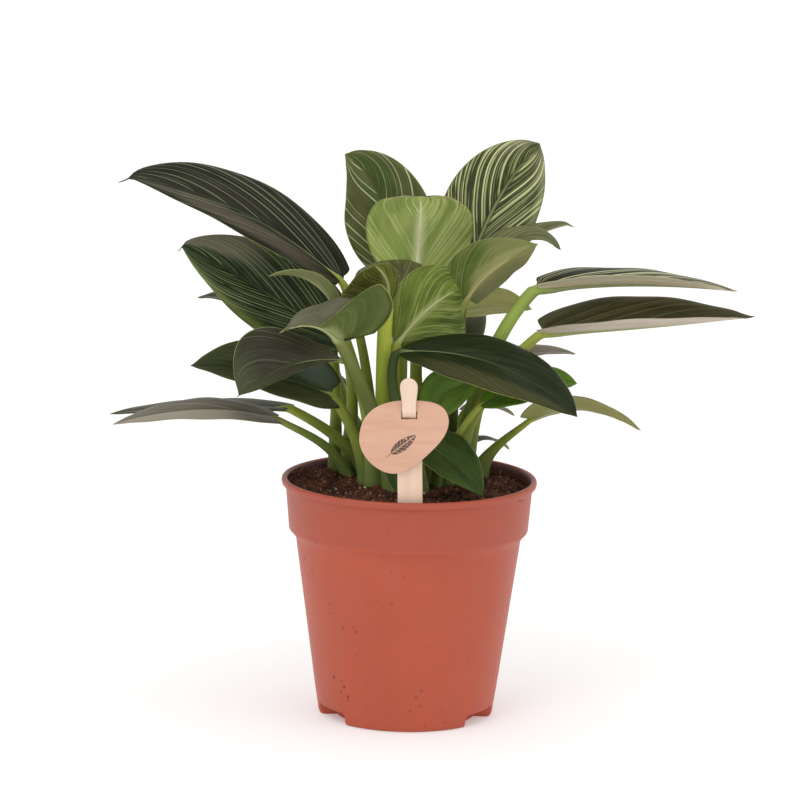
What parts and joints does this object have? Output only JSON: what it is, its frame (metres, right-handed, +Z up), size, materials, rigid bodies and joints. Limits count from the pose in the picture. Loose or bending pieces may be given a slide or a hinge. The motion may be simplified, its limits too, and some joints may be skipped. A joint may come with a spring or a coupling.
{
  "type": "potted birkin philodendron",
  "caption": "Young pinstriped philodendron with long-stalked oval leaves in a thin tapered nursery pot of soil, with a rounded wooden tag on a stick.",
  "frame": {"origin": "centre of the pot's flat base, on the surface that it stands on", "axes": "+Z up, the plant's show side with the label faces -Y, +X to the right as seen from there"},
  "size_m": [0.3012, 0.1792, 0.2679],
  "materials": {
    "pot": "terracotta plastic, satin",
    "soil": "dark moist peat",
    "leaf": "dark green with pale cream pinstripes, satin",
    "stick": "bare pale wood",
    "tag": "bare pinkish-tan board"
  },
  "bodies": {
    "root": {"pot": "pot", "soil": "soil", "leaf_long_upper_left": "leaf", "leaf_striped_left": "leaf", "leaf_back_left": "leaf", "leaf_dark_left": "leaf", "leaf_curled_young": "leaf", "leaf_folded_front": "leaf", "leaf_arched_front": "leaf", "leaf_olive_centre": "leaf", "leaf_underside_centre": "leaf", "leaf_underside_right": "leaf", "leaf_pale_top": "leaf", "leaf_top_left": "leaf", "leaf_top_right": "leaf", "leaf_thin_back_right": "leaf", "leaf_tip_back_right": "leaf", "leaf_long_right_upper": "leaf", "leaf_long_right_lower": "leaf", "leaf_grey_right": "leaf", "leaf_olive_right": "leaf", "leaf_broad_front_right": "leaf", "leaf_green_right": "leaf", "leaf_small_low_right": "leaf", "leaf_pale_low_right": "leaf", "leaf_thin_low_right": "leaf", "leaf_front_low": "leaf", "leaf_small_front": "leaf", "leaf_young_green": "leaf", "leaf_grey_front_left": "leaf", "leaf_low_left_back": "leaf", "leaf_low_left_front": "leaf", "leaf_rear_top": "leaf", "leaf_rear_left": "leaf", "leaf_rear_right": "leaf", "leaf_rear_low": "leaf", "leaf_rear_low_left": "leaf", "label_stick": "stick", "label_tag": "tag"}
  },
  "joints": []
}
